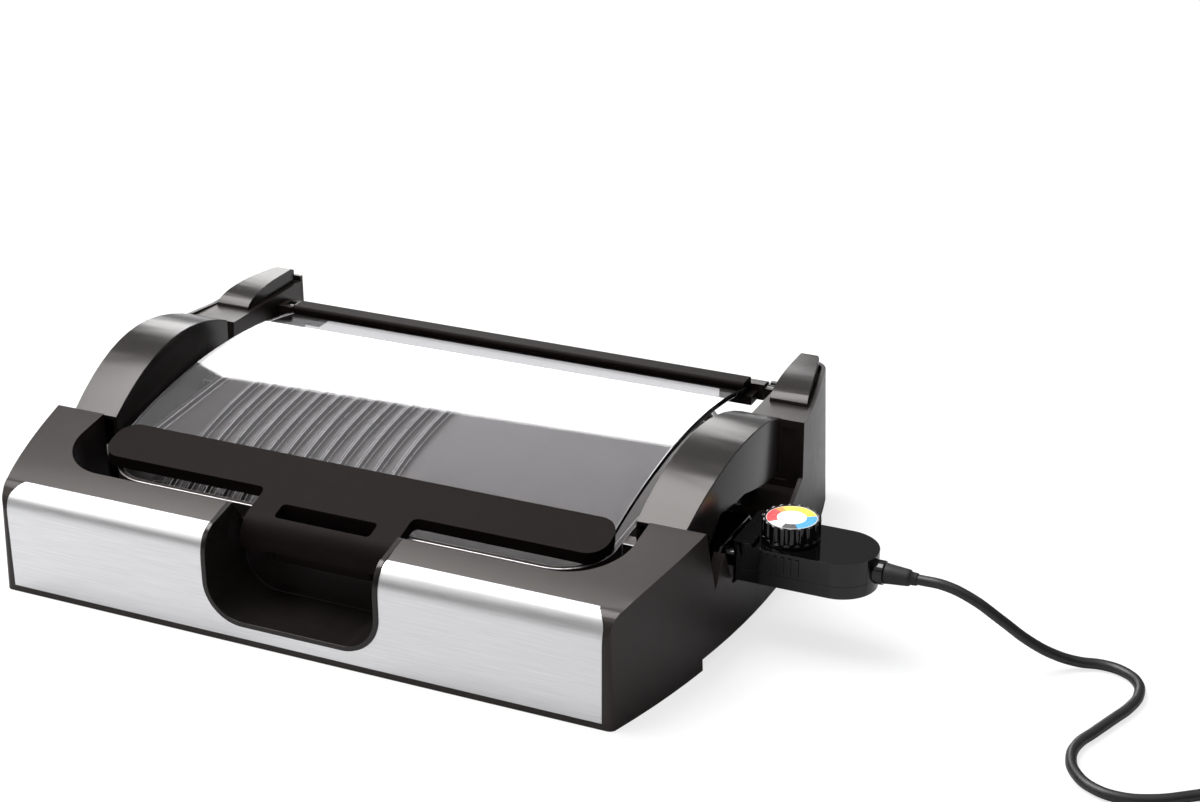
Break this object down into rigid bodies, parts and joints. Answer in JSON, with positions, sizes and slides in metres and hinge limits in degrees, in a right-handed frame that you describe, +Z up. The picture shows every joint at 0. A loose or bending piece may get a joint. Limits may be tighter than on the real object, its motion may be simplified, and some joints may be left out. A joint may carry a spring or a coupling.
{
  "type": "electric indoor grill with lid",
  "caption": "Electric table grill: base with steel front and drip tray, ribbed plate with handles and plug-in thermostat, and a hinged curved glass lid.",
  "frame": {"origin": "middle of the base's front bottom edge, on the table", "axes": "+X to the user's right, +Y to the back, +Z up"},
  "size_m": [0.9607, 0.3768, 0.1225],
  "materials": {
    "black_plastic": "satin",
    "gloss_black": "glossy",
    "steel_sheet": "brushed",
    "steel": "polished",
    "cast_plate": "non-stick coated, speckled",
    "tray_coat": "satin",
    "element": "dull",
    "ceramic": "matt",
    "rubber": "matt",
    "cord_rubber": "fine ribbed",
    "clear_glass": "clear",
    "dial": "coloured ring"
  },
  "bodies": {
    "base": {"base_shell": "black_plastic", "front_panel": "steel_sheet", "handle_pocket": "black_plastic", "tray_frame": "black_plastic", "base_screws": "steel", "rear_post_left": "black_plastic", "rear_post_right": "black_plastic", "post_cap_left": "gloss_black", "post_cap_right": "gloss_black", "hinge_socket_left": "black_plastic", "hinge_socket_right": "black_plastic", "foot_front_left": "rubber", "foot_front_right": "rubber", "foot_rear_left": "rubber", "foot_rear_right": "rubber"},
    "tray": {"drip_tray": "tray_coat"},
    "plate": {"grill_plate": "cast_plate", "heating_element": "element", "element_clips": "steel", "handle_left": "black_plastic", "handle_right": "black_plastic", "handle_screws": "steel", "socket_shroud": "gloss_black", "terminal_block": "ceramic", "terminal_pins": "steel"},
    "lid_pins": {"hinge_pin_left": "gloss_black", "hinge_pin_right": "gloss_black"},
    "lid": {"lid_glass": "clear_glass", "lid_front_bar": "black_plastic", "finger_tub": "black_plastic", "lid_rear_bar": "black_plastic", "hinge_arm_left": "black_plastic", "hinge_arm_right": "black_plastic", "lid_bumpers": "rubber", "lid_screws": "steel"},
    "thermostat": {"thermostat_lower_case": "gloss_black", "thermostat_upper_case": "gloss_black", "prong_sleeves": "gloss_black", "contact_tubes": "steel", "probe": "steel", "probe_bush": "ceramic", "switch_block": "ceramic", "case_screws": "steel", "cord_collar": "gloss_black", "strain_relief": "rubber", "cord": "cord_rubber", "cord_coil": "cord_rubber", "cord_tail": "cord_rubber", "cord_tie": "rubber", "plug_body": "rubber", "plug_pins": "steel"},
    "knob": {"knob": "gloss_black", "knob_shaft": "steel", "dial_disc": "dial"}
  },
  "joints": [
    {"name": "tray_lift", "type": "slide", "parent": "base", "child": "tray", "axis": [0, 0, 1], "range_m": [0, 0.118]},
    {"name": "plate_lift", "type": "slide", "parent": "tray", "child": "plate", "axis": [0, 0, 1], "range_m": [0, 0.062]},
    {"name": "lid_lift", "type": "slide", "parent": "plate", "child": "lid_pins", "axis": [0, 0, 1], "range_m": [0, 0.055]},
    {"name": "lid_hinge", "type": "hinge", "parent": "lid_pins", "child": "lid", "pos_m": [0, 0.345, 0.088], "axis": [1, 0, 0], "range_deg": [-95, 0]},
    {"name": "thermostat_pull", "type": "slide", "parent": "plate", "child": "thermostat", "axis": [1, 0, 0], "range_m": [0, 0.072]},
    {"name": "knob_turn", "type": "hinge", "parent": "thermostat", "child": "knob", "pos_m": [0.284, 0.158, 0.08], "axis": [0, 0, 1], "range_deg": [-270, 0]}
  ]
}
